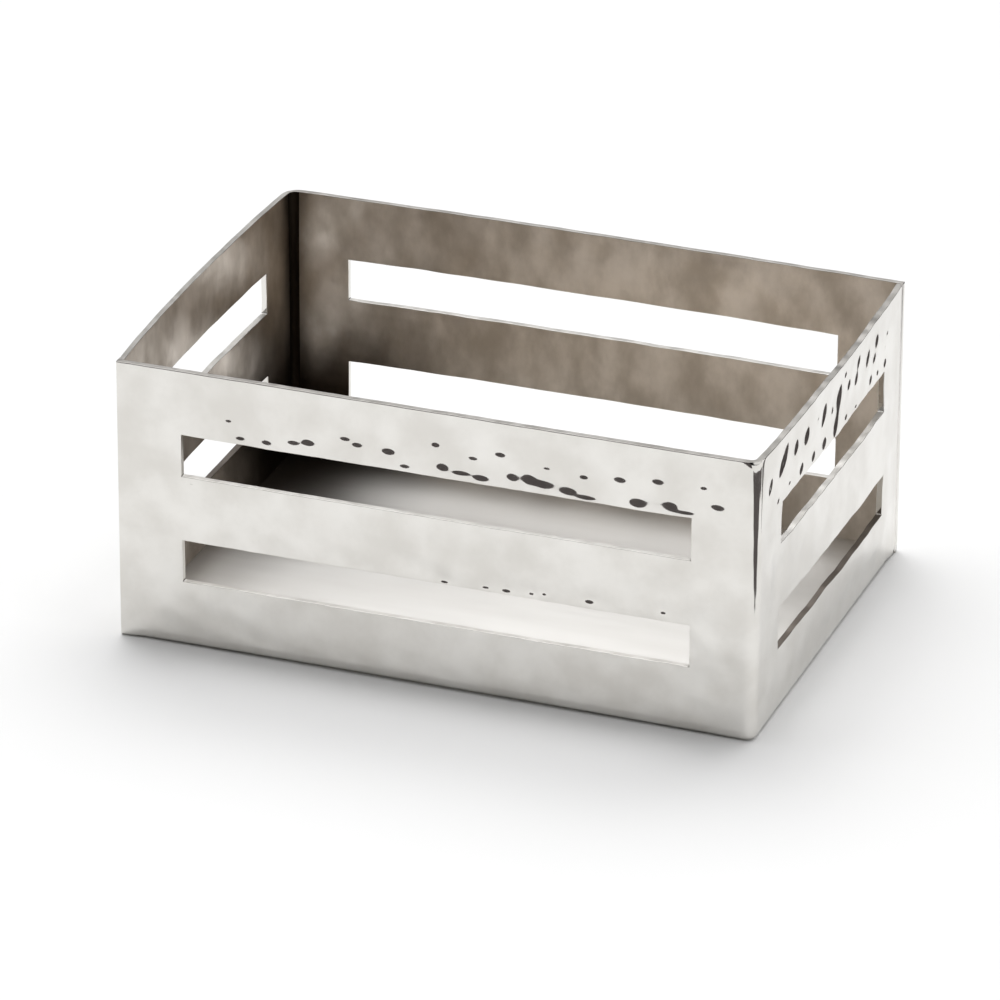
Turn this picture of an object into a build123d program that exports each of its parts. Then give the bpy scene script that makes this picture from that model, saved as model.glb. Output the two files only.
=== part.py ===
from build123d import *
import os

# A sugar packet holder: an open-topped box of thin stainless sheet, with long slots in its walls.
# Two L-shaped sheets, each bent once, make the four walls. A flat floor is set in between them.
# Weld runs, dressed flush, join the sheets at two corners and all round the floor.
#
# Millimetres, +Z up. The origin is the middle of the underside, which stands on the table.
# The long walls face -Y (front) and +Y (rear), and the short ones face +X (right) and -X (left).

# Overall size, over the outer faces of the walls
length = 101.6
width = 69.85
height = 45.8

# Sheet
wall_sheet = 1.0
floor_sheet = 1.0
bend_inner_radius = 0.8
bottom_edge_radius = 0.6

# Slots: the same rows in every wall, evenly spaced but for a small raise
slot_rows = 2
slot_height = 6.9
slot_end_margin = 10.35
slot_corner_radius = 0.2
slot_raise = 0.2

# Weld runs: the leg of the groove that each fills, as a share of the sheet that is grooved
weld_leg_share = 0.6

# How far a cut runs past the sheet that it cuts
overrun = 1.0

# Sizes that follow from those above
half_length = length / 2
half_width = width / 2
bend_outer_radius = bend_inner_radius + wall_sheet
inner_half_length = half_length - wall_sheet
inner_half_width = half_width - wall_sheet
corner_weld_leg = weld_leg_share * wall_sheet
floor_weld_leg = weld_leg_share * floor_sheet
strip_height = (height - slot_rows * slot_height) / (slot_rows + 1)
slot_pitch = strip_height + slot_height
lowest_slot_middle = strip_height + slot_height / 2 + slot_raise
long_slot_length = length - 2 * slot_end_margin
short_slot_length = width - 2 * slot_end_margin
slot_middles = [lowest_slot_middle + row * slot_pitch for row in range(slot_rows)]


def is_bend_corner(corner):
    """The front right and rear left corners are bends, and the other two are welded."""
    return corner.X * corner.Y < 0


def slot_outlines(slot_length):
    """One outline for each row, in a wall plane with X along the wall and Y up."""
    with BuildSketch(mode=Mode.PRIVATE) as outlines:
        with Locations([(0, middle) for middle in slot_middles]):
            RectangleRounded(slot_length, slot_height, slot_corner_radius)
    return outlines.sketch


def corner_weld_outline():
    """Plan of the weld run at the rear right corner, where the right wall meets the rear wall."""
    with BuildSketch(mode=Mode.PRIVATE) as outline:
        with BuildLine():
            Polyline(
                (half_length, inner_half_width),
                (half_length - corner_weld_leg, inner_half_width),
                (half_length, inner_half_width - corner_weld_leg),
                close=True,
            )
        make_face()
    return outline.sketch


def finish(part, name):
    """Name a finished piece and write its file."""
    part.label = name
    export_step(part, f"parts/{name}.step")


os.makedirs("parts", exist_ok=True)

# Outer form of the whole box, with its two bends and its rounded bottom edge.
# Every piece that reaches the outside is trimmed to it, so that the pieces stay flush.
with BuildPart() as outer_form:
    with BuildSketch():
        Rectangle(length, width)
        fillet(vertices().filter_by(is_bend_corner), bend_outer_radius)
    extrude(amount=height)
    fillet(faces().sort_by(Axis.Z)[0].edges(), bottom_edge_radius)

# Front and right walls: one sheet, bent at the front right corner.
# Its front end stands flush with the left face, and its other end butts on the rear wall.
with BuildPart() as front_right_wall:
    with BuildSketch():
        with BuildLine():
            FilletPolyline(
                (-half_length, -half_width),
                (half_length, -half_width),
                (half_length, inner_half_width),
                radius=bend_outer_radius,
            )
            offset(amount=wall_sheet, side=Side.LEFT)
        make_face()
        add(corner_weld_outline(), mode=Mode.SUBTRACT)
    extrude(amount=height)

    with BuildSketch(Plane.XZ.offset(inner_half_width - overrun)):
        add(slot_outlines(long_slot_length))
    extrude(amount=wall_sheet + 2 * overrun, mode=Mode.SUBTRACT)

    with BuildSketch(Plane.YZ.offset(inner_half_length - overrun)):
        add(slot_outlines(short_slot_length))
    extrude(amount=wall_sheet + 2 * overrun, mode=Mode.SUBTRACT)

    add(outer_form.part, mode=Mode.INTERSECT)
finish(front_right_wall.part, "front_right_wall")

# Rear and left walls: the same sheet, turned half a turn
with BuildPart() as rear_left_wall:
    add(front_right_wall.part, rotation=(0, 0, 180))
finish(rear_left_wall.part, "rear_left_wall")

# Weld run down the rear right corner, in the groove at the end of the right wall
with BuildPart() as rear_right_corner_weld:
    with BuildSketch():
        add(corner_weld_outline())
    extrude(amount=height)
    add(outer_form.part, mode=Mode.INTERSECT)
finish(rear_right_corner_weld.part, "rear_right_corner_weld")

# Its twin down the front left corner
with BuildPart() as front_left_corner_weld:
    add(rear_right_corner_weld.part, rotation=(0, 0, 180))
finish(front_left_corner_weld.part, "front_left_corner_weld")

# Floor: fits between the walls, with its underside level with their bottom edges.
# Its lower edge is bevelled for the weld runs.
with BuildSketch() as floor_outline:
    Rectangle(2 * inner_half_length, 2 * inner_half_width)
    fillet(vertices().filter_by(is_bend_corner), bend_inner_radius)

with BuildPart() as floor_plate:
    add(floor_outline.sketch)
    extrude(amount=floor_sheet)
    chamfer(faces().sort_by(Axis.Z)[0].edges(), floor_weld_leg)
finish(floor_plate.part, "floor_plate")

# Weld runs under the floor's edge: one along each wall, mitred where two meet.
# They are listed anticlockwise from the front, a quarter turn apart, and each run's name comes
# with its half length and its distance out.
floor_runs = [
    ("front_floor_weld", inner_half_length, inner_half_width),
    ("right_floor_weld", inner_half_width, inner_half_length),
    ("rear_floor_weld", inner_half_length, inner_half_width),
    ("left_floor_weld", inner_half_width, inner_half_length),
]
mitre_depth = bend_inner_radius + floor_weld_leg

for quarter_turns, (name, half_run, distance) in enumerate(floor_runs):
    with BuildPart() as floor_weld:
        with BuildSketch(Plane.XY.rotated((0, 0, 90 * quarter_turns))):
            with BuildLine():
                Polyline(
                    (-half_run, -distance),
                    (half_run, -distance),
                    (half_run - mitre_depth, -distance + mitre_depth),
                    (-half_run + mitre_depth, -distance + mitre_depth),
                    close=True,
                )
            make_face()
        extrude(amount=floor_weld_leg)
        with BuildSketch():
            add(floor_outline.sketch)
        extrude(amount=floor_sheet, mode=Mode.INTERSECT)
        add(floor_plate.part, mode=Mode.SUBTRACT)
    finish(floor_weld.part, name)
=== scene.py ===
"""Sugar packet holder: hammered sheet walls, floor and weld runs, on a small studio stage."""

import math

import bpy
import numpy as np
from bpy.props import FloatProperty, FloatVectorProperty, IntProperty, PointerProperty
from mathutils import Matrix, Vector


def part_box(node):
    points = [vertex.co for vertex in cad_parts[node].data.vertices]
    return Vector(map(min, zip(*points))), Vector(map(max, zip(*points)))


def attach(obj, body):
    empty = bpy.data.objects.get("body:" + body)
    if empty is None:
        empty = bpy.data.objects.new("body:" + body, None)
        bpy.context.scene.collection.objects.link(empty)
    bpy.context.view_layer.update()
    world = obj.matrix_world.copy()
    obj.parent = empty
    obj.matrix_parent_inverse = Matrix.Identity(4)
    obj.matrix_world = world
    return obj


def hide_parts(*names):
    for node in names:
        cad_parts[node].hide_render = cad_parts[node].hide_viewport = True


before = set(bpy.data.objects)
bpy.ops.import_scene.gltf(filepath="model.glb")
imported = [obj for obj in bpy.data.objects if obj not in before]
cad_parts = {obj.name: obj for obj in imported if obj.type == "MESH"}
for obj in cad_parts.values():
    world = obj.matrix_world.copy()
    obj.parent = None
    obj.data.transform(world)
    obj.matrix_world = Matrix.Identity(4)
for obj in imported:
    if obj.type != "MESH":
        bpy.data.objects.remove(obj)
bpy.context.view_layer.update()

bl_info = {
    "name": "Sugar Packet Holder",
    "version": (1, 0, 0),
    "blender": (4, 5, 0),
    "location": "View3D > Sidebar > Holder",
    "description": "Builds a hammered steel sugar packet holder and its studio stage",
    "category": "Add Mesh",
}

MM = 0.001

# Sizes in millimetres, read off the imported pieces
FRONT_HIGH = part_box("front_right_wall")[1]
REAR_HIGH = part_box("rear_left_wall")[1]
WELD_LOW, WELD_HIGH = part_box("rear_right_corner_weld")
HALF_LENGTH = FRONT_HIGH[0] / MM
HALF_WIDTH = REAR_HIGH[1] / MM
HEIGHT = FRONT_HIGH[2] / MM
FLOOR_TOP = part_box("floor_plate")[1][2] / MM
WALL_SHEET = (REAR_HIGH[1] - FRONT_HIGH[1]) / MM
WELD_LEG = (WELD_HIGH[0] - WELD_LOW[0]) / MM

# Hammer marks that are steep enough to catch the dark surroundings. On the front wall, each is its
# distance right of the middle, its height, and how wide and how tall it looks, in millimetres.
FRONT_MARKS = [
    (-32.8, 38.9, 0.8, 0.4), (-30.9, 36.35, 1.2, 0.45), (-26.7, 36.4, 1.0, 0.5), (-26.1, 38.7, 0.5, 0.3),
    (-22.4, 37.1, 1.8, 0.7), (-20.0, 37.5, 1.9, 1.0), (-14.1, 39.1, 1.5, 0.65), (-12.2, 38.4, 1.3, 0.6),
    (-7.2, 38.2, 1.9, 1.0), (-4.9, 38.0, 0.5, 0.35), (-4.6, 36.2, 1.4, 0.5), (0.4, 40.5, 1.0, 0.7),
    (1.4, 37.1, 1.7, 1.2), (4.4, 36.6, 2.6, 0.5), (7.4, 36.3, 1.9, 0.8), (6.2, 39.3, 1.9, 0.8),
    (10.5, 40.6, 1.5, 0.7), (12.4, 37.3, 1.6, 1.2), (15.1, 37.3, 1.9, 1.5), (17.2, 36.9, 2.2, 1.2),
    (17.8, 39.6, 1.6, 0.6), (21.2, 36.5, 1.8, 0.9), (24.2, 35.95, 2.6, 0.45), (23.6, 39.1, 1.3, 0.7),
    (29.4, 39.7, 1.9, 1.0), (32.1, 36.4, 2.1, 1.3), (35.1, 40.3, 1.7, 0.9), (37.3, 36.75, 2.1, 1.4),
    (39.7, 36.05, 3.0, 0.5), (42.3, 40.5, 0.8, 0.4), (44.5, 37.7, 1.7, 0.7),
    (1.8, 18.2, 1.7, 0.5), (8.3, 18.4, 1.6, 0.5), (11.6, 18.4, 1.4, 0.5), (15.6, 18.6, 1.1, 0.6),
    (17.6, 18.9, 1.1, 0.7), (24.7, 18.9, 1.5, 0.65), (29.8, 19.1, 0.5, 0.3), (36.3, 19.1, 1.0, 0.55),
    (-38.8, 27.4, 1.4, 0.35),
]

# The same on the right wall, by distance behind the middle. These slant and are taller than wide.
RIGHT_MARKS = [
    (-29.9, 39.9, 0.8, 2.7), (-26.6, 36.1, 0.6, 1.6), (-2.3, 40.2, 0.9, 2.2),
    (-21.6, 37.0, 0.6, 0.9), (-19.0, 41.5, 1.0, 2.4), (-16.3, 36.8, 1.0, 2.0), (-14.1, 41.4, 1.3, 2.8),
    (-11.0, 36.6, 0.9, 2.0), (-8.9, 41.9, 0.5, 1.2), (-6.3, 41.0, 1.0, 3.4), (-5.9, 36.4, 1.0, 1.9),
    (-0.4, 37.3, 1.3, 4.2), (1.0, 41.2, 1.3, 4.0), (3.9, 43.6, 0.5, 1.2), (4.5, 36.4, 0.7, 1.3),
    (5.6, 41.2, 0.7, 2.0), (9.5, 35.9, 0.5, 0.8), (9.3, 40.3, 1.0, 2.6), (10.4, 43.0, 0.9, 2.2),
    (15.2, 41.5, 0.9, 3.0), (17.0, 37.0, 1.1, 2.3), (18.8, 39.9, 1.0, 2.2), (19.8, 42.4, 0.9, 2.2),
    (20.7, 36.7, 0.6, 1.2), (24.8, 36.6, 1.1, 2.0), (24.5, 39.4, 0.4, 0.8), (25.7, 41.2, 0.5, 1.2),
]

# The longest mark on the right wall, which slants more than the others
LONG_RIGHT_MARK = (-24.4, 41.6, 1.4, 5.4)

# How far the marks turn from lying level, in radians, and how steep the steps are
FRONT_TURN, RIGHT_TURN, LONG_RIGHT_TURN = 0.0, 1.2, 0.85
HIGH_FRONT_STEEPNESS, LOW_FRONT_STEEPNESS = 0.2, 0.3
RIGHT_STEEPNESS, LONG_RIGHT_STEEPNESS = 0.24, 0.19

# The heights between which the marks lie, where the mesh is finer
MARKED_BANDS = [(17.7, 20.4), (27.0, 28.0), (35.4, 45.7)]

# How far each wall bows out, in millimetres
RIGHT_BOW, RIGHT_REAR_END_BOW, REAR_BOW, LEFT_BOW = 0.75, 0.5, 0.85, 1.1

# How much thinner the rear and left walls are at the rim, in millimetres
REAR_RIM_THINNING = 0.15

# The V filed off the rim at each bend, in millimetres
BEVEL_HEIGHT, BEVEL_DEPTH = 1.9, 0.5

# Distance in millimetres from an edge to the mesh line that keeps the face beside it flat
SUPPORT = 0.12

# Mesh strips across each rounded edge
EDGE_STEPS = 4

# Material slots of a hammered wall; those of the inner bend and of the dark sills hold painted shade
OUTSIDE, INSIDE, PAINTED_BEND_SHADE, CUT_RIM, SILL, PAINTED_SILL_SHADE = range(6)

# Colours and roughness that the panel doesn't show. The near black of the inner bends and the dark
# sill colour are painted shade.
BEND_SHADE_COLOUR, BEND_SHADE_ROUGHNESS = (0.03, 0.023, 0.017), 0.6
PAINTED_SILL_SHADE_COLOUR = (0.17, 0.148, 0.13)
CUT_ROUGHNESS = 0.4
WELD_ROUGHNESS = 0.32

# Painted shade: the steel's colour darkens towards the inner bends, with a narrow darker band right
# beside them, and the floor's colour darkens towards the left wall and the rear left bend. This stands
# in for the shade that falls in these corners. Each shade is its slant, whether it lies at both bends,
# where it starts and where it is full in millimetres, and how deep it is below SHADE_LOW and above
# SHADE_HIGH, which are heights in millimetres.
WALL_PAINTED_SHADES = [(1.0, True, 53.0, 75.0, (0.93, 0.14)), (1.0, True, 80.0, 83.4, (0.6, 0.6))]
FLOOR_PAINTED_SHADES = [(0.35, False, 28.0, 56.0, (0.95, 0.1))]
PAINTED_SHADE_COLOUR = (0.07, 0.05, 0.035)
SHADE_LOW, SHADE_HIGH = 11, 30

# The Mix node's lower and upper input and its output, which go by number as their names repeat
MIX_SOCKETS = {"RGBA": (6, 7, 2), "FLOAT": (2, 3, 0)}

# Soft lights: where each stands, how its edge fades (as the cosine of the angle off its middle)
# and how bright it is
SOFT_LIGHTS = [
    ((0.0, 0.45, 0.893), (0.80, 0.97), 3.2),
    ((-0.60, 0.20, 0.775), (0.75, 0.95), 1.5),
    ((0.90, 0.0, 0.436), (0.75, 0.95), 0.9),
    ((-0.15, -0.62, 0.77), (0.75, 0.95), 0.5),
]

# Directions of the rear, where the sky is a little lighter, and of the camera, where it is dark
REAR = (0.0, 1.0, 0.0)
CAMERA_SIDE = (0.311, -0.846, 0.433)

# Dark cards in millimetres: two that stand on a line, and the outline of one that lies on the table
CARD_COLOUR = (0.10, 0.09, 0.09)
CARD_HEIGHT = 60
FRONT_CARD = [(-160, -155), (120, -155)]
SIDE_CARD = [(95, 20), (95, 260)]
CORNER_CARD = [
    (92, -51), (94, -59), (99, -71), (103, -83), (104, -97), (102, -112), (110, -124), (160, -50),
    (130, 37), (120, 28), (120, 22), (129, -12), (123, -17), (118, -28), (109, -33), (100, -33),
    (94, -44),
]
CORNER_CARD_LIFT = 0.3

# The table's half size, and how far it lies below the holder so that the two never meet
TABLE_REACH = 4000
TABLE_DROP = 0.02


class HolderSheetSettings(bpy.types.PropertyGroup):
    """Sizes of the hammered sheet"""

    slot_height: FloatProperty(
        name="Slot Height", description="Height of each slot", default=6.9 * MM, min=MM, unit="LENGTH")
    slot_end_margin: FloatProperty(
        name="Slot End Margin", description="From the end of a wall to the end of its slots",
        default=10.35 * MM, min=MM, unit="LENGTH")
    slot_raise: FloatProperty(
        name="Slot Raise", description="How far the slots stand above even spacing",
        default=0.2 * MM, unit="LENGTH")
    bend_inner_radius: FloatProperty(
        name="Bend Radius", description="Inner radius of the bends", default=0.8 * MM, min=0.1 * MM,
        unit="LENGTH")
    bottom_edge_height: FloatProperty(
        name="Bottom Edge Height",
        description="How far up the rounding of the outer bottom edge starts",
        default=1.6 * MM, min=0.1 * MM, unit="LENGTH")
    bottom_edge_depth: FloatProperty(
        name="Bottom Edge Depth", description="How far in the rounding of the outer bottom edge runs",
        default=0.84 * MM, min=0.1 * MM, max=0.85 * MM, unit="LENGTH")
    edge_radius: FloatProperty(
        name="Edge Radius", description="Rounding of the rim and of the slots' edges",
        default=0.08 * MM, min=0.02 * MM, unit="LENGTH")
    mesh_step: FloatProperty(
        name="Mesh Step", description="Spacing of the mesh lines along and up the sheet",
        default=0.36 * MM, min=0.15 * MM, unit="LENGTH")
    dent_spacing: FloatProperty(
        name="Dent Spacing", description="Distance between neighbouring hammer dents",
        default=5.3 * MM, min=2 * MM, unit="LENGTH")
    dent_depth: FloatProperty(
        name="Dent Depth", description="Depth of a usual hammer dent", default=0.045 * MM, min=0,
        unit="LENGTH")
    rim_waviness: FloatProperty(
        name="Rim Waviness", description="How far hammering pushes the rim and slot edges up and down",
        default=0.07 * MM, min=0, unit="LENGTH")
    bottom_lift: FloatProperty(
        name="Bottom Lift",
        description="How far hammering lifts the middle of the long walls' lower edge",
        default=0.3 * MM, min=0, unit="LENGTH")
    lip_flare: FloatProperty(
        name="Lip Flare", description="How far the strip above a slot leans out at the slot's edge",
        default=0.10 * MM, min=0, unit="LENGTH")
    seed: IntProperty(name="Seed", description="Changes the hammer pattern", default=7, min=0)


class HolderSteelSettings(bpy.types.PropertyGroup):
    """Colours and finishes of the steel"""

    polished_colour: FloatVectorProperty(
        name="Polished", description="Colour of the polished outer faces", subtype="COLOR", size=3,
        min=0, max=1, default=(0.775, 0.76, 0.727))
    satin_colour: FloatVectorProperty(
        name="Satin", description="Colour of the satin inner faces", subtype="COLOR", size=3,
        min=0, max=1, default=(0.71, 0.645, 0.575))
    cut_edge_colour: FloatVectorProperty(
        name="Cut Rim", description="Colour of the dull cut edge at the rim", subtype="COLOR",
        size=3, min=0, max=1, default=(0.47, 0.455, 0.435))
    sill_colour: FloatVectorProperty(
        name="Slot Sills", description="Colour of the satin lower edges of the slots", subtype="COLOR",
        size=3, min=0, max=1, default=(0.66, 0.645, 0.62))
    floor_colour: FloatVectorProperty(
        name="Floor", description="Colour of the floor plate", subtype="COLOR", size=3,
        min=0, max=1, default=(0.76, 0.75, 0.73))
    polished_roughness: FloatProperty(
        name="Polished Roughness", description="Roughness of the polished faces", default=0.07, min=0,
        max=1, subtype="FACTOR")
    satin_roughness: FloatProperty(
        name="Satin Roughness", description="Roughness of the satin faces", default=0.32, min=0,
        max=1, subtype="FACTOR")
    floor_roughness: FloatProperty(
        name="Floor Roughness", description="Roughness of the floor plate", default=0.5, min=0,
        max=1, subtype="FACTOR")


class HolderStageSettings(bpy.types.PropertyGroup):
    """Camera, light and backdrop of the studio stage"""

    azimuth: FloatProperty(
        name="Azimuth", description="Camera direction, right of the front", subtype="ANGLE",
        default=math.radians(20.16))
    elevation: FloatProperty(
        name="Elevation", description="Camera height above the horizon", subtype="ANGLE",
        default=math.radians(25.68))
    roll: FloatProperty(
        name="Roll", description="Camera roll", subtype="ANGLE", default=math.radians(0.26))
    distance: FloatProperty(
        name="Distance", description="Camera distance from its target", default=1.1138, unit="LENGTH")
    target: FloatVectorProperty(
        name="Target", description="Point that the camera looks at", size=3, subtype="TRANSLATION",
        default=(25.41 * MM, -75.44 * MM, 53.98 * MM))
    lens: FloatProperty(name="Lens", description="Focal length in millimetres", default=282.7, min=10)
    table_colour: FloatVectorProperty(
        name="Table", description="Colour of the table", subtype="COLOR", size=3, min=0, max=1,
        default=(0.9, 0.9, 0.9))
    sky_light: FloatProperty(
        name="Sky Light", description="Strength of the light all round", default=1.0, min=0)


def smooth_step(low, high, value):
    """0 below low, 1 above high, and an easy curve between them."""
    share = np.clip((value - low) / (high - low), 0.0, 1.0)
    return share * share * (3.0 - 2.0 * share)


def spaced_lines(breaks, step):
    """Coordinates that hit every break, with others between them no further apart than step."""
    lines = [breaks[0]]
    for start, end in zip(breaks[:-1], breaks[1:]):
        count = max(1, math.ceil((end - start) / step - 1e-6))
        lines += [start + (end - start) * k / count for k in range(1, count + 1)]
    return np.array(lines)


def wave_field(seed, along, up, along_period, up_period, waves=14):
    """Smooth seeded noise of about unit height, from a sum of slanted waves."""
    random = np.random.default_rng(seed)
    total = np.zeros(np.broadcast(along, up).shape)
    for _ in range(waves):
        a = random.normal() * 2 * math.pi / along_period
        b = random.normal() * 2 * math.pi / up_period
        phase = random.uniform(0, 2 * math.pi)
        total += np.sin(a * along + b * up + phase)
    return total / math.sqrt(waves / 2)


class WallSheet:
    """One L-shaped wall: a long leg, a bend and a short leg, laid out flat before it is bent.

    `along` runs on the outer face from the free end of the long leg, `up` is the height and
    `inward` the distance into the sheet from its outer face. All are in millimetres.
    """

    def __init__(self, settings, seed, bow, rim_thinning=0.0):
        self.sheet = WALL_SHEET
        self.outer_radius = settings.bend_inner_radius / MM + self.sheet
        self.long_end = 2 * HALF_LENGTH - self.outer_radius
        self.short_start = self.long_end + self.outer_radius * math.pi / 2
        self.total = self.short_start + 2 * HALF_WIDTH - self.sheet - self.outer_radius
        self.edge = settings.edge_radius / MM
        self.bottom_edge = settings.bottom_edge_height / MM
        self.bottom_depth = settings.bottom_edge_depth / MM
        self.step = settings.mesh_step / MM
        self.dent_spacing = settings.dent_spacing / MM
        self.dent_depth = settings.dent_depth / MM
        self.waviness = settings.rim_waviness / MM
        self.flare = settings.lip_flare / MM
        self.bottom_lift = settings.bottom_lift / MM
        self.seed = seed
        self.marks = []
        self.bow = bow
        self.rim_thinning = rim_thinning
        margin = settings.slot_end_margin / MM
        slot_height = settings.slot_height / MM
        strip = (HEIGHT - 2 * slot_height) / 3
        low = strip + settings.slot_raise / MM
        self.slot_rows = [
            (low, low + slot_height),
            (low + strip + slot_height, low + strip + 2 * slot_height),
        ]
        short_wall_start = self.short_start - self.outer_radius
        self.slot_spans = [
            (margin, 2 * HALF_LENGTH - margin),
            (short_wall_start + margin, short_wall_start + 2 * HALF_WIDTH - margin),
        ]

    # Where the flat sheet goes

    def place(self, along, up, outward):
        """Bends flat coordinates into the L, with outward measured from the outer face."""
        radius = self.outer_radius
        angle = np.clip((along - self.long_end) / radius, 0.0, math.pi / 2) - math.pi / 2
        normal_x = np.cos(angle)
        normal_y = np.sin(angle)
        long_run = np.minimum(along, self.long_end)
        short_run = np.maximum(along - self.short_start, 0.0)
        x = -HALF_LENGTH + long_run + radius * normal_x
        y = -HALF_WIDTH + radius + short_run + radius * normal_y
        return np.stack([x + outward * normal_x, y + outward * normal_y, up], -1)

    # How hammering shapes it

    def calm(self, along, up):
        """0 where welds and the floor hold the sheet to its true shape, and 1 away from them."""
        ends = smooth_step(0.7, 3.6, along) * smooth_step(0.7, 3.6, self.total - along)
        off_bend = np.maximum(self.long_end - along, along - self.short_start)
        bend = 1 - 0.75 * smooth_step(2.6, 0.6, off_bend)
        rim = 1 - 0.65 * smooth_step(HEIGHT - 2.5, HEIGHT - 0.3, up)
        return ends * bend * rim * smooth_step(0.8, 2.6, up)

    def dents(self, along, up):
        """Depth of the hammer dents, which lie in staggered rows with a little disorder."""
        random = np.random.default_rng(self.seed)
        depth = np.zeros(along.shape)
        row_gap = self.dent_spacing * 0.72
        rows = int(HEIGHT / row_gap) + 2
        columns = int(self.total / self.dent_spacing) + 2
        for row in range(rows):
            for column in range(columns):
                place = column + 0.5 * (row % 2) + random.uniform(-0.22, 0.22)
                centre_along = place * self.dent_spacing
                centre_up = (row + random.uniform(-0.25, 0.25)) * row_gap
                radius = self.dent_spacing * random.uniform(0.52, 0.78)
                height = self.dent_depth * random.uniform(0.5, 1.35)
                reach = (np.hypot(along - centre_along, (up - centre_up) * 1.1) / radius) ** 2
                depth -= height * np.clip(1 - reach, 0, None) ** 1.5
        return depth

    def mark_steps(self, along, up):
        """Each mark is a short steep step in the sheet, which fades out on both sides of it."""
        total = np.zeros(along.shape)
        for centre_along, centre_up, wide, tall, turn, steepness in self.marks:
            across = along - centre_along
            high = up - centre_up
            down_slope = across * math.sin(turn) - high * math.cos(turn)
            on_level = across * math.cos(turn) + high * math.sin(turn)
            thick, long = (wide, tall) if turn > math.pi / 4 else (tall, wide)
            # 2.06 and 2.7 make the part that is steep enough to show as large as the mark should look
            run = thick / 2.06
            reach = max(1.2, 3 * run)
            fade = np.exp(-0.5 * (on_level * 2.7 / long) ** 2 - 0.5 * (down_slope / reach) ** 2)
            total += steepness * run * np.tanh(down_slope / run) * fade
        return total

    def lean(self, along, up):
        """The strip above each slot leans out towards the slot, and the walls bow."""
        total = np.zeros(along.shape)
        for span_start, span_end in self.slot_spans:
            inside = smooth_step(span_start - 3, span_start + 5, along)
            inside = inside * smooth_step(span_end + 3, span_end - 5, along)
            for low, high in self.slot_rows:
                above = np.clip(1 - (up - high) / 6.0, 0, 1.4)
                total += self.flare * inside * above ** 2 * smooth_step(high - 4.0, high, up)
        return total + self.bow(along, up, self)

    def bend_bevel(self, along, up):
        """The outer corner of the rim is filed off at the bend, in the shape of a V."""
        middle = (self.long_end + self.short_start) / 2
        across = np.clip(1 - abs(along - middle) / (self.short_start - middle + 0.7), 0, 1)
        reach = np.maximum(BEVEL_HEIGHT * across, 0.01)
        climb = np.clip((up - HEIGHT + reach) / reach, 0, 1)
        return -BEVEL_DEPTH * across * (1 - np.sqrt(1 - climb ** 2))

    def outer_shift(self, along, up):
        """How far the outer face stands out of its true place."""
        calm = self.calm(along, up)
        cloud = 0.02 * wave_field(self.seed + 5, along, up, along_period=9, up_period=7)
        bumps = calm * (self.dents(along, up) + cloud) + self.mark_steps(along, up)
        bumps = bumps + self.bend_bevel(along, up)
        return self.lean(along, up) * smooth_step(0.6, 6.0, up) + bumps

    def inner_shift(self, along, up):
        """The same for the inner face, which has no dents and may thin the sheet towards the rim."""
        calm = self.calm(along, up) * smooth_step(FLOOR_TOP, FLOOR_TOP + 2.0, up)
        small = 0.008 * wave_field(self.seed + 6, along, up, along_period=7, up_period=7)
        large = 0.03 * wave_field(self.seed + 8, along, up, along_period=14, up_period=18)
        bumps = calm * (small + large)
        thinning = self.rim_thinning * smooth_step(HEIGHT - 12, HEIGHT, up)
        return self.lean(along, up) * smooth_step(0.6, 6.0, up) + bumps + thinning

    def edge_shift(self, along, up):
        """How far hammering moves a point up or down, which is most on the right wall."""
        wave = wave_field(self.seed + 11, along, up, along_period=13, up_period=20)
        hold = smooth_step(1.5, 9.0, up) * smooth_step(0.5, 3.0, along)
        hold = hold * smooth_step(0.5, 3.0, self.total - along)
        strength = 0.3
        if self.marks:
            strength = 0.3 + 0.7 * smooth_step(self.short_start - 2, self.short_start + 6, along)
        lift = self.bottom_lift * held_span(along, 1, self.long_end - 1) * smooth_step(8.0, 1.0, up)
        return self.waviness * wave * hold * strength + lift

    # The mesh

    def lines(self):
        """Mesh lines along and up the sheet, with a close pair at every edge."""
        edge = self.edge
        along_breaks = [edge, edge + SUPPORT]
        for start, end in self.slot_spans:
            along_breaks += [start - edge - SUPPORT, start - edge, end + edge, end + edge + SUPPORT]
        along_breaks += [self.long_end, (self.long_end + self.short_start) / 2, self.short_start]
        along_breaks += [self.total - WELD_LEG - SUPPORT, self.total - WELD_LEG]
        up_breaks = [self.bottom_edge, self.bottom_edge + SUPPORT]
        for low, high in self.slot_rows:
            up_breaks += [low - edge - SUPPORT, low - edge, high + edge, high + edge + SUPPORT]
        up_breaks += [HEIGHT - edge - SUPPORT, HEIGHT - edge]
        along = spaced_lines(sorted(along_breaks), self.step)
        up = spaced_lines(sorted(up_breaks), self.step)
        if self.marks:
            halves = []
            for low, high in zip(up[:-1], up[1:]):
                is_marked = any(start < low < end for start, end in MARKED_BANDS)
                if is_marked and high - low > 0.2:
                    halves.append((low + high) / 2)
            up = np.sort(np.concatenate([up, halves]))
        return along, up

    def build(self, name, turned):
        """Makes the wall as one closed mesh: two faces, and a rounded strip round each edge."""
        along, up = self.lines()
        solid = np.ones((len(along) - 1, len(up) - 1), bool)
        loops = [("outside", self.rectangle_loop(0, len(along) - 1, 0, len(up) - 1))]
        for start, end in self.slot_spans:
            for low, high in self.slot_rows:
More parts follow.
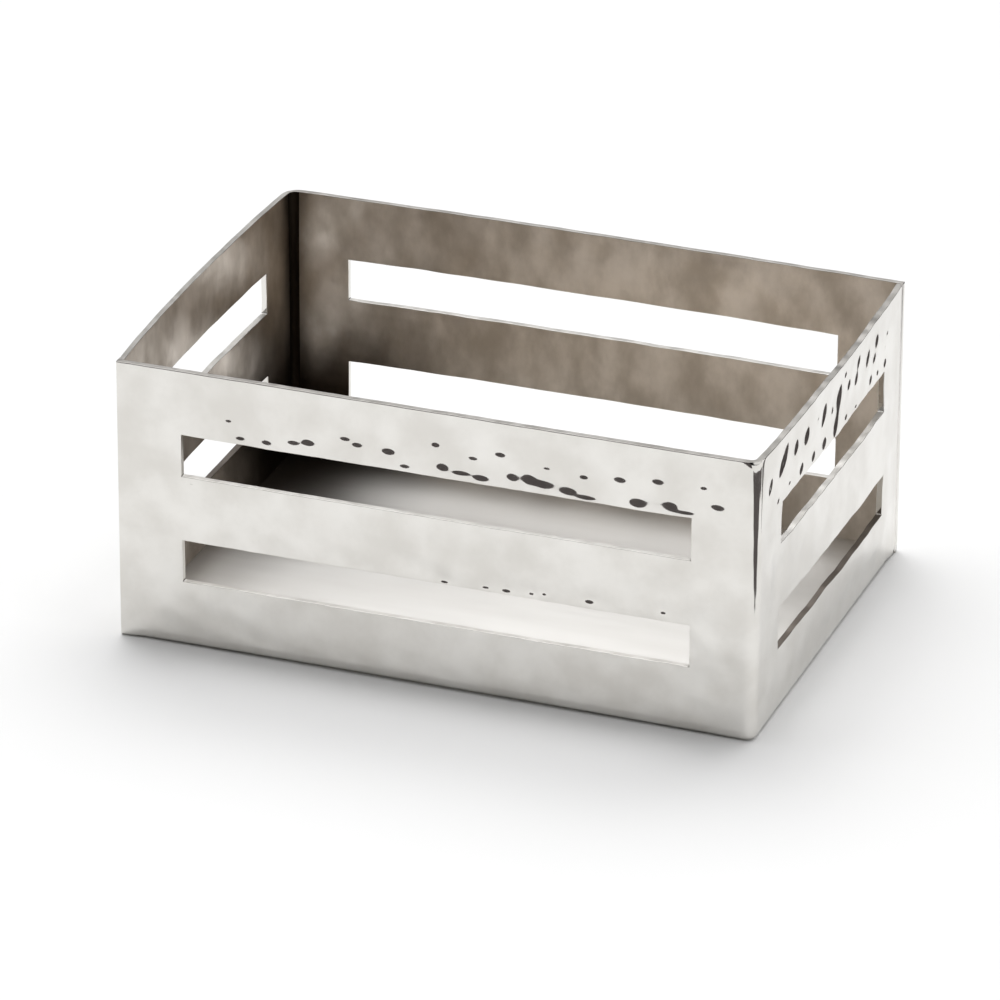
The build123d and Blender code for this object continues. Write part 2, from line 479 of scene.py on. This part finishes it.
                # The sills of the lower slots in the short walls take painted shade
                has_painted_sill_shade = start > self.long_end and low < HEIGHT / 3
                i0 = int(np.argmin(abs(along - (start - self.edge))))
                i1 = int(np.argmin(abs(along - (end + self.edge))))
                j0 = int(np.argmin(abs(up - (low - self.edge))))
                j1 = int(np.argmin(abs(up - (high + self.edge))))
                solid[i0:i1, j0:j1] = False
                loop = self.rectangle_loop(i0, i1, j0, j1)[::-1]
                loops.append(("slot with painted sill shade" if has_painted_sill_shade else "slot", loop))
        used = np.zeros((len(along), len(up)), bool)
        for di in (0, 1):
            for dj in (0, 1):
                used[di:len(along) - 1 + di, dj:len(up) - 1 + dj] |= solid
        index = -np.ones(used.shape, int)
        index[used] = np.arange(used.sum())
        flat_along, flat_up = [a[used] for a in np.meshgrid(along, up, indexing="ij")]
        # The inner face runs further down and further along than the outer one, whose edges are larger
        at_bottom = flat_up <= self.bottom_edge + 1e-6
        at_weld = flat_along >= self.total - WELD_LEG - 1e-6
        inner_up = np.where(at_bottom, self.edge, flat_up)
        inner_along = np.where(at_weld, self.total - self.edge, flat_along)
        outer_out = self.outer_shift(flat_along, flat_up)
        inner_out = self.inner_shift(inner_along, inner_up)
        rise = self.edge_shift(flat_along, flat_up)
        points = [self.place(flat_along, flat_up + rise, outer_out),
                  self.place(inner_along, inner_up + rise, inner_out - self.sheet)]
        count = len(flat_along)
        cells = np.argwhere(solid)
        corner = [index[cells[:, 0] + a, cells[:, 1] + b] for a, b in ((0, 0), (1, 0), (1, 1), (0, 1))]
        outer_faces = np.stack(corner, -1)
        inner_faces = np.stack([c + count for c in corner[::-1]], -1)
        faces = [outer_faces, inner_faces]
        # Faces in and just beside each bend take the near black painted shade of the bend
        middle = ((along[:-1] + along[1:]) / 2)[cells[:, 0]]
        in_bend = (middle > self.long_end - 0.45) & (middle < self.short_start + 0.45)
        slots = [np.full(len(outer_faces), OUTSIDE), np.where(in_bend, PAINTED_BEND_SHADE, INSIDE)]
        flat = [np.zeros(2 * len(outer_faces), bool)]
        total_points = 2 * count
        for kind, loop in loops:
            rows, loop_faces = self.edge_strip(loop, kind, along, up, index, count, total_points)
            points.append(rows)
            faces.append(loop_faces)
            slots.append(self.edge_slots(loop, kind, len(loop_faces)))
            butted = np.array([kind == "outside" and side_along > 0 for _, _, side_along, _ in loop])
            flat.append(np.tile(butted & np.roll(butted, -1), len(loop_faces) // len(loop)))
            total_points += len(rows)
        vertices = np.concatenate(points)
        if turned:
            vertices[:, :2] *= -1
        return quad_object(
            name, vertices, np.concatenate(faces), np.concatenate(slots), np.concatenate(flat))

    @staticmethod
    def edge_slots(loop, kind, count):
        """The rim is dull, and the slots' lower edges are satin, or dark with painted shade in the lower
        slots of the short walls.

        The rest is polished with the outside.
        """
        facing_up = 1 if kind == "outside" else -1
        finish = {"outside": CUT_RIM, "slot": SILL, "slot with painted sill shade": PAINTED_SILL_SHADE}[kind]
        chosen = np.array([side_up == facing_up for _, _, _, side_up in loop])
        return np.tile(np.where(chosen & np.roll(chosen, -1), finish, OUTSIDE), count // len(loop))

    @staticmethod
    def rectangle_loop(i0, i1, j0, j1):
        """Grid places round a rectangle, anticlockwise, each with its side directions."""
        loop = [(i, j0) for i in range(i0, i1)] + [(i1, j) for j in range(j0, j1)]
        loop += [(i, j1) for i in range(i1, i0, -1)] + [(i0, j) for j in range(j1, j0, -1)]
        return [(i, j, (i == i1) - (i == i0), (j == j1) - (j == j0)) for i, j in loop]

    def edge_strip(self, loop, kind, along, up, index, count, first):
        """Rounded edge that joins the outer face to the inner one round one loop."""
        i, j, side_along, side_up = np.array(loop).T
        toward = 1 if kind == "outside" else -1
        side_along = side_along * toward
        side_up = side_up * toward
        base_along = along[i]
        base_up = up[j]
        edge = self.edge
        bottom = (kind == "outside") & (side_up < 0)
        bevelled = (kind == "outside") & (side_along > 0)
        outer_round_up = np.where(bottom, self.bottom_edge, edge)
        outer_round_along = np.where(bevelled, WELD_LEG, edge)
        limit_along = base_along + side_along * outer_round_along
        limit_up = base_up + side_up * outer_round_up
        depth_round = np.where(side_along != 0, outer_round_along, outer_round_up)
        # Near the corners, the rounding of the bottom edge draws in to the size of the weld runs
        free = smooth_step(0.5, 4.0, np.minimum(base_along, self.total - base_along))
        depth_round = np.where(bottom, WELD_LEG + (self.bottom_depth - WELD_LEG) * free, depth_round)
        sharpness = np.where(bottom, 2.5 - 1.5 * free, 1.0)
        shift_out = self.outer_shift(base_along, base_up)
        inner_along = np.where(bevelled, self.total - edge, base_along)
        inner_up = np.where(bottom, edge, base_up)
        shift_in = self.inner_shift(inner_along, inner_up)
        rise = self.edge_shift(base_along, base_up)
        rows = []

        def add_row(row_along, row_up, inward):
            blend = inward / self.sheet
            outward = shift_out * (1 - blend) + shift_in * blend - inward
            rows.append(self.place(row_along, row_up + rise, outward))

        for k in range(1, EDGE_STEPS + 1):
            turn = k / EDGE_STEPS * math.pi / 2
            curve_side = np.where(bevelled, k / EDGE_STEPS, math.sin(turn))
            curve_deep = np.where(bevelled, k / EDGE_STEPS, (1 - math.cos(turn)) ** sharpness)
            add_row(base_along + side_along * outer_round_along * curve_side,
                    base_up + side_up * outer_round_up * curve_side, depth_round * curve_deep)
        support = 0.3 * edge
        add_row(limit_along, limit_up, depth_round + support)
        add_row(limit_along, limit_up, np.full(len(i), self.sheet - edge - support))
        for k in range(EDGE_STEPS, 0, -1):
            turn = k / EDGE_STEPS * math.pi / 2
            back = edge * (1 - math.sin(turn))
            deep = self.sheet - edge * (1 - math.cos(turn))
            add_row(limit_along - side_along * back, limit_up - side_up * back, np.full(len(i), deep))
        size = len(i)
        grid = [index[i, j]] + [first + k * size + np.arange(size) for k in range(len(rows))]
        grid.append(index[i, j] + count)
        faces = []
        for row, following in zip(grid[:-1], grid[1:]):
            faces.append(np.stack([np.roll(row, -1), row, following, np.roll(following, -1)], -1))
        return np.concatenate(rows), np.concatenate(faces)


def quad_object(name, vertices, faces, slots, flat):
    """Makes an object of four-sided faces, smooth but for the flat ones, whose edges are sharp."""
    mesh = bpy.data.meshes.new(name)
    mesh.from_pydata((vertices * MM).tolist(), [], faces.tolist())
    mesh.polygons.foreach_set("material_index", slots.astype(np.int32))
    mesh.polygons.foreach_set("use_smooth", ~flat)
    edge_of_corner = np.empty(len(mesh.loops), np.int32)
    mesh.loops.foreach_get("edge_index", edge_of_corner)
    sharp = np.zeros(len(mesh.edges), bool)
    sharp[edge_of_corner.reshape(-1, 4)[flat]] = True
    mesh.edges.foreach_set("use_edge_sharp", sharp)
    mesh.update()
    piece = bpy.data.objects.new(name, mesh)
    bpy.context.scene.collection.objects.link(piece)
    return piece


def held_span(along, start, end):
    """A full hump that is 0 at both ends of a wall, where its neighbours hold it, and 1 between."""
    share = np.clip((along - start) / (end - start), 0, 1)
    return np.sin(math.pi * share) ** 0.7


def front_right_bow(along, up, sheet):
    """The right wall stands out a little, most at its rim and low down towards its rear end."""
    whole = held_span(along, sheet.short_start, sheet.total - 1) * smooth_step(2, HEIGHT + 8, up)
    rear_end = smooth_step(sheet.short_start, sheet.short_start + 45, along)
    rear_end = rear_end * smooth_step(sheet.total - 0.5, sheet.total - 8, along)
    low_rear_end = rear_end * smooth_step(1, 10, up) * (1 - smooth_step(16, 38, up))
    return RIGHT_BOW * whole + RIGHT_REAR_END_BOW * low_rear_end


def rear_left_bow(along, up, sheet):
    """The rear wall bellies out above the floor, and the left wall stands out rather more."""
    belly = smooth_step(1, 14, up) * (1 - 0.25 * smooth_step(34, HEIGHT, up))
    rear = held_span(along, 1, sheet.long_end) * belly
    left = held_span(along, sheet.short_start, sheet.total - 1) * smooth_step(1, 24, up)
    return REAR_BOW * rear + LEFT_BOW * left


def node(tree, kind, **values):
    """Adds a shader node and sets its attributes."""
    made = tree.nodes.new(kind)
    for key, value in values.items():
        setattr(made, key, value)
    return made


def maths(tree, operation, *values):
    """Result of a maths node, which takes sockets and numbers."""
    made = node(tree, "ShaderNodeMath", operation=operation)
    for value, socket in zip(values, made.inputs):
        if isinstance(value, bpy.types.NodeSocket):
            tree.links.new(value, socket)
        else:
            socket.default_value = value
    return made.outputs["Value"]


def reach_along(tree, vector, direction):
    """How far a vector reaches along a direction."""
    made = node(tree, "ShaderNodeVectorMath", operation="DOT_PRODUCT")
    made.inputs[1].default_value = direction
    tree.links.new(vector, made.inputs[0])
    return made.outputs["Value"]


def height_on(tree, place):
    """Height of a point on its piece."""
    parts = node(tree, "ShaderNodeSeparateXYZ")
    tree.links.new(place.outputs["Object"], parts.inputs["Vector"])
    return parts.outputs["Z"]


def eased(tree, value, start, end, low=0.0, high=1.0):
    """Goes from low to high on an easy curve, as a value goes from start to end."""
    made = node(tree, "ShaderNodeMapRange", interpolation_type="SMOOTHSTEP")
    for name, number in (("From Min", start), ("From Max", end), ("To Min", low), ("To Max", high)):
        made.inputs[name].default_value = number
    tree.links.new(value, made.inputs["Value"])
    return made.outputs["Result"]


def noise(tree, vector, size, detail, roughness=0.5):
    """Smooth noise with clouds of a size, and layers of finer noise in them."""
    made = node(tree, "ShaderNodeTexNoise")
    made.inputs["Scale"].default_value = 1 / size
    made.inputs["Detail"].default_value = detail
    made.inputs["Roughness"].default_value = roughness
    tree.links.new(vector, made.inputs["Vector"])
    return made.outputs["Fac"]


def mixed(tree, factor, below, above, data_type, blend_type="MIX"):
    """Lays a fixed colour or number over a socket's, by a factor."""
    first, second, result = MIX_SOCKETS[data_type]
    made = node(tree, "ShaderNodeMix", data_type=data_type, blend_type=blend_type)
    made.inputs[second].default_value = above
    tree.links.new(factor, made.inputs[0])
    tree.links.new(below, made.inputs[first])
    return made.outputs[result]


def plain_material(name, colour, roughness, shine):
    """A material of one colour, for the stage."""
    material = bpy.data.materials.new(name)
    material.use_nodes = True
    shader = material.node_tree.nodes["Principled BSDF"]
    shader.inputs["Base Color"].default_value = (*colour, 1)
    shader.inputs["Roughness"].default_value = roughness
    shader.inputs["Specular IOR Level"].default_value = shine
    return material


def steel_material(name, colour, roughness, blotch, grain, bump_height, stretch=(1.0, 1.0, 1.0),
                   contrast=0.1, mottling=4.0, detail=4.0, unevenness=0.2, shades=()):
    """Bare steel with cloudy colour, uneven polish and fine relief, in object space.

    Blotch and grain are the sizes of the clouds and of the relief in millimetres, mottling and
    detail are how many layers of finer noise they have, and bump_height is the relief's height in
    millimetres. Shades are like WALL_PAINTED_SHADES.
    """
    material = bpy.data.materials.new(name)
    material.use_nodes = True
    tree = material.node_tree
    tree.nodes.clear()
    output = node(tree, "ShaderNodeOutputMaterial")
    shader = node(tree, "ShaderNodeBsdfPrincipled")
    shader.inputs["Metallic"].default_value = 1.0
    tree.links.new(shader.outputs["BSDF"], output.inputs["Surface"])
    place = node(tree, "ShaderNodeTexCoord")
    scale = node(tree, "ShaderNodeMapping")
    scale.inputs["Scale"].default_value = [1000 * s for s in stretch]
    tree.links.new(place.outputs["Object"], scale.inputs["Vector"])

    cloud = noise(tree, scale.outputs["Vector"], blotch, mottling, roughness=0.55)
    tint = node(tree, "ShaderNodeValToRGB")
    tint.color_ramp.interpolation = "EASE"
    tint.color_ramp.elements[0].position = 0.3
    tint.color_ramp.elements[1].position = 0.7
    dark = [c * (1 - s * contrast) for c, s in zip(colour, (1.0, 1.08, 1.2))]
    tint.color_ramp.elements[0].color = dark + [1]
    tint.color_ramp.elements[1].color = [min(1, c * (1 + 0.4 * contrast)) for c in colour] + [1]
    tree.links.new(cloud, tint.inputs["Fac"])
    shaded = tint.outputs["Color"]
    # Painted shade in the corners, laid over the clouds of colour
    for shade in shades:
        shaded = add_painted_corner_shade(tree, place, shaded, *shade)
    tree.links.new(shaded, shader.inputs["Base Color"])

    fine = noise(tree, scale.outputs["Vector"], grain, detail)
    smoothest, roughest = roughness * (1 - unevenness), roughness * (1 + 1.25 * unevenness)
    polish = eased(tree, fine, 0.3, 0.7, smoothest, roughest)
    tree.links.new(polish, shader.inputs["Roughness"])

    relief = node(tree, "ShaderNodeBump")
    relief.inputs["Strength"].default_value = 1.0
    relief.inputs["Distance"].default_value = bump_height * MM
    tree.links.new(fine, relief.inputs["Height"])
    tree.links.new(relief.outputs["Normal"], shader.inputs["Normal"])
    return material


def add_painted_corner_shade(tree, place, colour, slant, both_bends, start, end, amounts):
    """Paints shade into a colour towards the inner bends, as the painted shade lists describe.

    The shade follows slant * y - x, which grows towards the rear left bend, and with both_bends
    does the same towards the front right one.
    """
    distance = reach_along(tree, place.outputs["Object"], (-1.0, slant, 0.0))
    if both_bends:
        distance = maths(tree, "ABSOLUTE", distance)
    near = eased(tree, distance, start * MM, end * MM)
    deep = eased(tree, height_on(tree, place), SHADE_LOW * MM, SHADE_HIGH * MM, *amounts)
    amount = maths(tree, "MULTIPLY", near, deep)
    return mixed(tree, amount, colour, (*PAINTED_SHADE_COLOUR, 1), "RGBA", blend_type="MULTIPLY")


def dull_top(material, colour, roughness):
    """Gives the very top of a piece the finish of the cut rim beside it."""
    tree = material.node_tree
    shader = next(made for made in tree.nodes if made.type == "BSDF_PRINCIPLED")
    place = node(tree, "ShaderNodeTexCoord")
    at_top = maths(tree, "GREATER_THAN", height_on(tree, place), (HEIGHT - 0.01) * MM)
    for name, data_type, value in (
            ("Base Color", "RGBA", (*colour, 1)), ("Roughness", "FLOAT", roughness)):
        socket = shader.inputs[name]
        below = socket.links[0].from_socket
        tree.links.new(mixed(tree, at_top, below, value, data_type), socket)


class HOLDER_OT_walls(bpy.types.Operator):
    """Build the two hammered L-shaped walls"""

    bl_idname = "holder.walls"
    bl_label = "Hammered Walls"

    def execute(self, context):
        sheet = context.scene.holder_sheet
        materials = self.finishes(context.scene.holder_steel)
        front = WallSheet(sheet, sheet.seed, front_right_bow)
        self.add_marks(front)
        rear = WallSheet(sheet, sheet.seed + 40, rear_left_bow, rim_thinning=REAR_RIM_THINNING)
        for wall, name, node_name, turned in (
                (front, "hammered_front_right_wall", "front_right_wall", False),
                (rear, "hammered_rear_left_wall", "rear_left_wall", True)):
            piece = wall.build(name, turned)
            for material in materials:
                piece.data.materials.append(material)
            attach(piece, "root")
            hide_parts(node_name)
        return {"FINISHED"}

    @staticmethod
    def finishes(steel):
        """The materials of a wall, in the order of its material slots."""
        cut = {"grain": 1.5, "bump_height": 0.002, "mottling": 2.0, "detail": 2.0, "unevenness": 0.1}
        return [
            steel_material(
                "polished_steel", steel.polished_colour, steel.polished_roughness,
                blotch=9.0, grain=1.6, bump_height=0.004),
            # The satin steel carries painted shade towards the inner bends
            steel_material(
                "satin_steel", steel.satin_colour, steel.satin_roughness,
                blotch=7.0, grain=5.0, bump_height=0.005, stretch=(1, 1, 0.6), contrast=0.32,
                mottling=6.0, detail=2.0, unevenness=0.1, shades=WALL_PAINTED_SHADES),
            # Near black painted shade for the inside of the bends
            steel_material(
                "painted_bend_shade", BEND_SHADE_COLOUR, BEND_SHADE_ROUGHNESS,
                blotch=3.0, grain=1.0, bump_height=0.004, stretch=(1, 1, 0.2), contrast=0.4),
            steel_material(
                "cut_edge", steel.cut_edge_colour, CUT_ROUGHNESS, blotch=6.0, contrast=0.12, **cut),
            steel_material("slot_sill", steel.sill_colour, CUT_ROUGHNESS, blotch=5.0, **cut),
            # Dark painted shade for the sills of the lower slots in the short walls
            steel_material("painted_sill_shade", PAINTED_SILL_SHADE_COLOUR, CUT_ROUGHNESS, blotch=5.0, **cut),
        ]

    @staticmethod
    def add_marks(front):
        """Sets the steep hammer marks on the front and right walls."""
        right_middle = front.short_start - front.outer_radius + HALF_WIDTH
        for along, up, wide, tall in FRONT_MARKS:
            steepness = HIGH_FRONT_STEEPNESS if up > HEIGHT / 2 else LOW_FRONT_STEEPNESS
            front.marks.append((along + HALF_LENGTH, up, wide, tall, FRONT_TURN, steepness))
        for along, up, wide, tall in RIGHT_MARKS:
            front.marks.append((along + right_middle, up, wide, tall, RIGHT_TURN, RIGHT_STEEPNESS))
        along, up, wide, tall = LONG_RIGHT_MARK
        front.marks.append(
            (along + right_middle, up, wide, tall, LONG_RIGHT_TURN, LONG_RIGHT_STEEPNESS))


class HOLDER_OT_floor(bpy.types.Operator):
    """Finish the floor plate"""

    bl_idname = "holder.floor"
    bl_label = "Floor Plate"

    def execute(self, context):
        steel = context.scene.holder_steel
        # The floor's colour carries painted shade towards the left wall and the rear left bend
        finish = steel_material(
            "floor_satin", steel.floor_colour, steel.floor_roughness,
            blotch=7.0, grain=1.2, bump_height=0.0008, stretch=(0.12, 1, 1), contrast=0.04,
            mottling=2.0, detail=2.0, unevenness=0.03, shades=FLOOR_PAINTED_SHADES)
        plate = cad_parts["floor_plate"]
        for slot in plate.material_slots:
            slot.material = finish
        return {"FINISHED"}


class HOLDER_OT_welds(bpy.types.Operator):
    """Finish the weld runs at two corners and under the floor"""

    bl_idname = "holder.welds"
    bl_label = "Weld Runs"

    def execute(self, context):
        steel = context.scene.holder_steel
        finish = steel_material(
            "dressed_weld", steel.polished_colour, WELD_ROUGHNESS,
            blotch=1.5, grain=0.5, bump_height=0.004, unevenness=0.1)
        dull_top(finish, steel.cut_edge_colour, CUT_ROUGHNESS)
        for name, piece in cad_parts.items():
            if name.endswith("_weld"):
                for slot in piece.material_slots:
                    slot.material = finish
        return {"FINISHED"}


class HOLDER_OT_stage(bpy.types.Operator):
    """Set up the table, the light and the camera"""

    bl_idname = "holder.stage"
    bl_label = "Studio Stage"

    def execute(self, context):
        stage = context.scene.holder_stage
        self.table(context, stage)
        self.sky(context, stage)
        self.cards(context)
        self.camera(context, stage)
        context.scene.view_settings.view_transform = "Standard"
        return {"FINISHED"}

    def table(self, context, stage):
        """A plain pale table top."""
        mesh = bpy.data.meshes.new("table")
        corners = [(-TABLE_REACH, -TABLE_REACH), (TABLE_REACH, -TABLE_REACH),
                   (TABLE_REACH, TABLE_REACH), (-TABLE_REACH, TABLE_REACH)]
        mesh.from_pydata([(x * MM, y * MM, -TABLE_DROP * MM) for x, y in corners], [], [(0, 1, 2, 3)])
        table = bpy.data.objects.new("table", mesh)
        context.scene.collection.objects.link(table)
        mesh.materials.append(plain_material("table_top", stage.table_colour, 0.7, 0.1))

    def sky(self, context, stage):
        """Soft patches of light behind and beside the object, and a dark place round the camera."""
        world = bpy.data.worlds.new("studio_sky")
        context.scene.world = world
        world.use_nodes = True
        tree = world.node_tree
        background = tree.nodes["Background"]
        background.inputs["Strength"].default_value = stage.sky_light
        place = node(tree, "ShaderNodeTexCoord")
        total = self.facing_level(tree, place, REAR, (-0.6, 0.5), (0.03, 0.05))
        for direction, spread, strength in SOFT_LIGHTS:
            patch = self.facing_level(tree, place, direction, spread, (0.0, strength))
            total = maths(tree, "ADD", total, patch)
        open_side = self.facing_level(tree, place, CAMERA_SIDE, (0.75, 0.93), (1.0, 0.06))
        tree.links.new(maths(tree, "MULTIPLY", total, open_side), background.inputs["Color"])

    @staticmethod
    def facing_level(tree, place, direction, spread, levels):
        """Goes from one level to the other as the sky turns to face a direction."""
        facing = reach_along(tree, place.outputs["Generated"], direction)
        return eased(tree, facing, *spread, *levels)

    def cards(self, context):
        """Dark cards that show only in reflections, so that they shade nothing."""
        material = plain_material("black_card", CARD_COLOUR, 1.0, 0.0)
        lying = [(x, y, CORNER_CARD_LIFT) for x, y in CORNER_CARD]
        for name, outline in (
                ("front_card", self.standing_card(FRONT_CARD)),
                ("side_card", self.standing_card(SIDE_CARD)),
                ("corner_card", lying)):
            mesh = bpy.data.meshes.new(name)
            corners = [(x * MM, y * MM, z * MM) for x, y, z in outline]
            mesh.from_pydata(corners, [], [tuple(range(len(corners)))])
            mesh.materials.append(material)
            card = bpy.data.objects.new(name, mesh)
            card.visible_camera = False
            card.visible_diffuse = False
            card.visible_shadow = False
            context.scene.collection.objects.link(card)

    @staticmethod
    def standing_card(line):
        """Outline of a card that stands on a line on the table."""
        (x0, y0), (x1, y1) = line
        return [(x0, y0, 0), (x1, y1, 0), (x1, y1, CARD_HEIGHT), (x0, y0, CARD_HEIGHT)]

    def camera(self, context, stage):
        """The camera, which looks at its target from the photograph's direction."""
        azimuth, elevation, roll = stage.azimuth, stage.elevation, stage.roll
        level = math.cos(elevation)
        back = Vector((math.sin(azimuth) * level, -math.cos(azimuth) * level, math.sin(elevation)))
        right = (-back).cross(Vector((0, 0, 1))).normalized()
        rise = right.cross(-back)
        side = right * math.cos(roll) + rise * math.sin(roll)
        top = rise * math.cos(roll) - right * math.sin(roll)
        data = bpy.data.cameras.new("camera")
        data.lens = stage.lens
        data.sensor_width = 36
        data.clip_start = 0.01
        data.clip_end = 20
        camera = bpy.data.objects.new("camera", data)
        place = Vector(stage.target) + back * stage.distance
        axes = [(side[k], top[k], back[k], place[k]) for k in range(3)]
        camera.matrix_world = Matrix(axes + [(0, 0, 0, 1)])
        context.scene.collection.objects.link(camera)
        context.scene.camera = camera


class HOLDER_PT_panel(bpy.types.Panel):
    """Sugar packet holder tools"""

    bl_idname = "HOLDER_PT_panel"
    bl_label = "Sugar Packet Holder"
    bl_space_type = "VIEW_3D"
    bl_region_type = "UI"
    bl_category = "Holder"

    def draw(self, context):
        """Shows every setting, and a button for each operator."""
        layout = self.layout
        for group in SETTINGS:
            settings = getattr(context.scene, group)
            box = layout.box()
            for name in settings.__annotations__:
                box.prop(settings, name)
        for operator in OPERATORS:
            layout.operator(operator.bl_idname)


OPERATORS = (HOLDER_OT_walls, HOLDER_OT_floor, HOLDER_OT_welds, HOLDER_OT_stage)
SETTINGS = {
    "holder_sheet": HolderSheetSettings,
    "holder_steel": HolderSteelSettings,
    "holder_stage": HolderStageSettings,
}
CLASSES = (*SETTINGS.values(), *OPERATORS, HOLDER_PT_panel)


def register():
    """Adds the settings, the operators and the panel."""
    for cls in CLASSES:
        bpy.utils.register_class(cls)
    for name, cls in SETTINGS.items():
        setattr(bpy.types.Scene, name, PointerProperty(type=cls))


def unregister():
    """Takes them all out again."""
    for name in SETTINGS:
        delattr(bpy.types.Scene, name)
    for cls in reversed(CLASSES):
        bpy.utils.unregister_class(cls)


def main():
    register()
    bpy.ops.holder.walls()
    bpy.ops.holder.floor()
    bpy.ops.holder.welds()
    bpy.ops.holder.stage()


if __name__ == "__main__":
    main()
